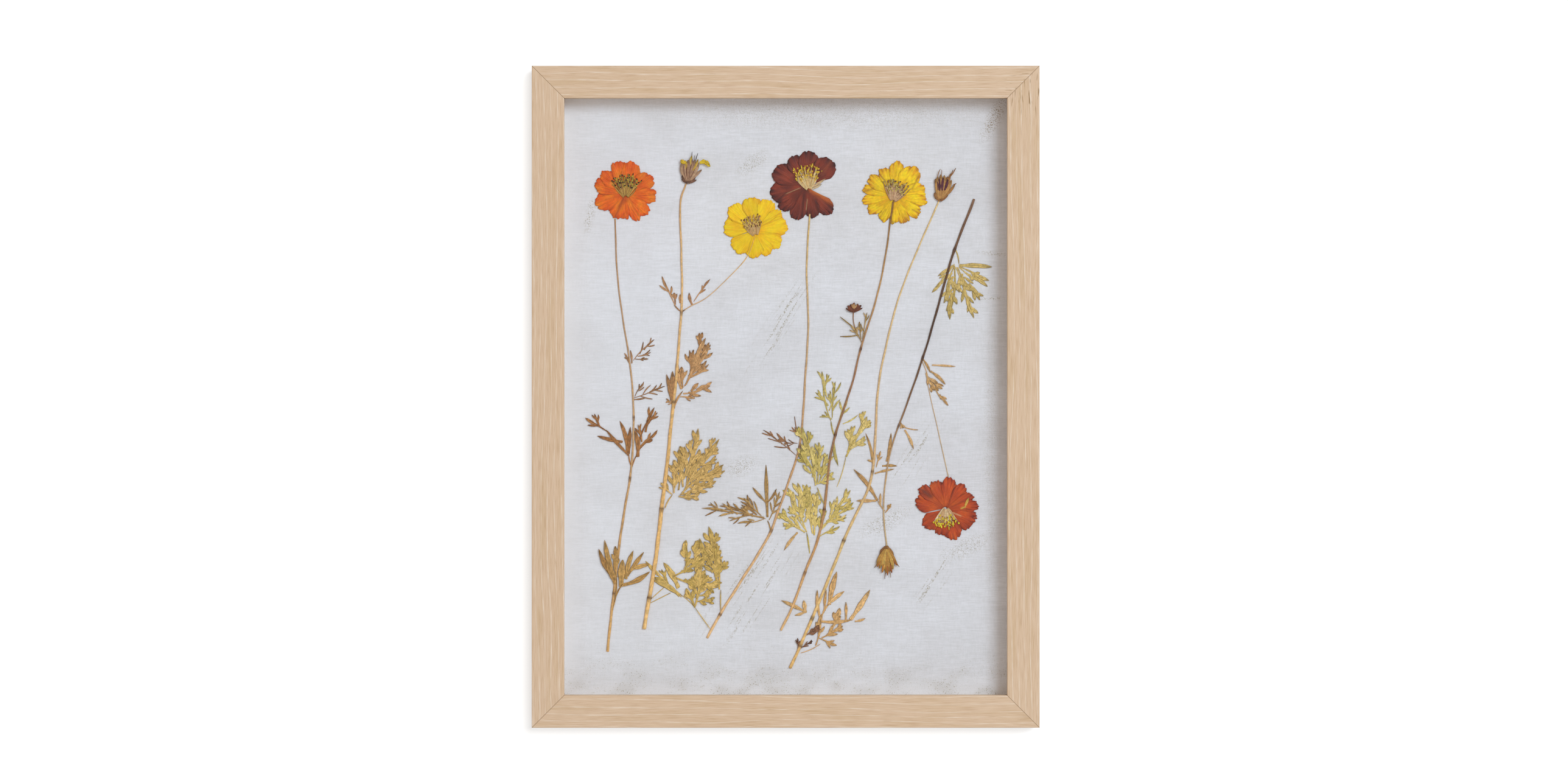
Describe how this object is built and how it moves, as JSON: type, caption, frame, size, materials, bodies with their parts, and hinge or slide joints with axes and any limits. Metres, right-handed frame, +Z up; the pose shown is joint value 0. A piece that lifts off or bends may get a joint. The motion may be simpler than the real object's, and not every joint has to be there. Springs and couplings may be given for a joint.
{
  "type": "shadow-box picture frame with pressed flowers",
  "caption": "Deep mitred oak picture frame holding pressed wildflowers on gessoed linen behind clear glazing, with turn-button back and ring hangers.",
  "frame": {"origin": "middle of the frame on the wall plane that the bumpers touch", "axes": "+Z up, the glazed front facing -Y, +X to the viewer's right"},
  "size_m": [0.3346, 0.032, 0.4364],
  "materials": {
    "oak": "limed, straight-grained, matt oil",
    "oak_facing": "limed oak veneer",
    "clear_glazing": "low-reflection clear sheet",
    "gessoed_linen": "fine plain weave under white gesso",
    "mount_board": "uncoated board",
    "filler_board": "paper-faced foam board",
    "hardboard": "smooth tempered hardboard",
    "nail_steel": "bare rolled strip",
    "zinc_screw": "bright zinc plate",
    "spring_steel": "rolled strip, bright",
    "nickel_steel": "nickel plate",
    "bumper_rubber": "translucent soft pad",
    "dried_stem": "dried plant stem",
    "dried_leaf": "dried plant leaf",
    "dried_bud": "dried flower bud",
    "orange_petal": "pressed petal",
    "yellow_petal": "pressed petal",
    "golden_petal": "pressed petal",
    "maroon_petal": "pressed petal",
    "russet_petal": "pressed petal"
  },
  "bodies": {
    "frame": {"back_board": "hardboard", "bumper_left": "bumper_rubber", "bumper_right": "bumper_rubber", "button_screws": "zinc_screw", "corner_nails": "nail_steel", "filler_board": "filler_board", "glazing": "clear_glazing", "golden_bloom": "golden_petal", "golden_bud": "dried_bud", "golden_leaves": "dried_leaf", "golden_stem": "dried_stem", "hanger_screws": "zinc_screw", "hanger_strap_left": "nickel_steel", "hanger_strap_right": "nickel_steel", "linen": "gessoed_linen", "maroon_bloom": "maroon_petal", "maroon_leaves": "dried_leaf", "maroon_stem": "dried_stem", "mount_board": "mount_board", "orange_bloom": "orange_petal", "orange_leaves": "dried_leaf", "orange_stem": "dried_stem", "rail_bottom": "oak", "rail_left": "oak", "rail_right": "oak", "rail_top": "oak", "russet_bloom": "russet_petal", "russet_bud": "dried_bud", "russet_leaves": "dried_leaf", "russet_stem": "dried_stem", "seedhead_bud": "dried_bud", "seedhead_leaves": "dried_leaf", "seedhead_stem": "dried_stem", "spacer_bottom": "oak_facing", "spacer_left": "oak_facing", "spacer_right": "oak_facing", "spacer_top": "oak_facing", "yellow_bloom": "yellow_petal", "yellow_bud": "dried_bud", "yellow_leaves": "dried_leaf", "yellow_stem": "dried_stem"},
    "turn_button_top": {"turn_button_top": "spring_steel"},
    "turn_button_bottom": {"turn_button_bottom": "spring_steel"},
    "turn_button_upper_left": {"turn_button_upper_left": "spring_steel"},
    "turn_button_lower_left": {"turn_button_lower_left": "spring_steel"},
    "turn_button_upper_right": {"turn_button_upper_right": "spring_steel"},
    "turn_button_lower_right": {"turn_button_lower_right": "spring_steel"},
    "hanger_ring_left": {"hanger_ring_left": "nickel_steel"},
    "hanger_ring_right": {"hanger_ring_right": "nickel_steel"}
  },
  "joints": [
    {"name": "turn_button_top_turn", "type": "hinge", "parent": "frame", "child": "turn_button_top", "pos_m": [0, -0.0034, 0.21108], "axis": [0, 1, 0], "continuous": true},
    {"name": "turn_button_bottom_turn", "type": "hinge", "parent": "frame", "child": "turn_button_bottom", "pos_m": [0, -0.0034, -0.21108], "axis": [0, 1, 0], "continuous": true},
    {"name": "turn_button_upper_left_turn", "type": "hinge", "parent": "frame", "child": "turn_button_upper_left", "pos_m": [-0.16028, -0.0034, 0.075], "axis": [0, 1, 0], "continuous": true},
    {"name": "turn_button_lower_left_turn", "type": "hinge", "parent": "frame", "child": "turn_button_lower_left", "pos_m": [-0.16028, -0.0034, -0.075], "axis": [0, 1, 0], "continuous": true},
    {"name": "turn_button_upper_right_turn", "type": "hinge", "parent": "frame", "child": "turn_button_upper_right", "pos_m": [0.16028, -0.0034, 0.075], "axis": [0, 1, 0], "continuous": true},
    {"name": "turn_button_lower_right_turn", "type": "hinge", "parent": "frame", "child": "turn_button_lower_right", "pos_m": [0.16028, -0.0034, -0.075], "axis": [0, 1, 0], "continuous": true},
    {"name": "hanger_ring_left_swing", "type": "hinge", "parent": "frame", "child": "hanger_ring_left", "pos_m": [-0.16028, -0.00215, 0.14015], "axis": [1, 0, 0], "range_deg": [0, 175]},
    {"name": "hanger_ring_right_swing", "type": "hinge", "parent": "frame", "child": "hanger_ring_right", "pos_m": [0.16028, -0.00215, 0.14015], "axis": [1, 0, 0], "range_deg": [0, 175]}
  ]
}
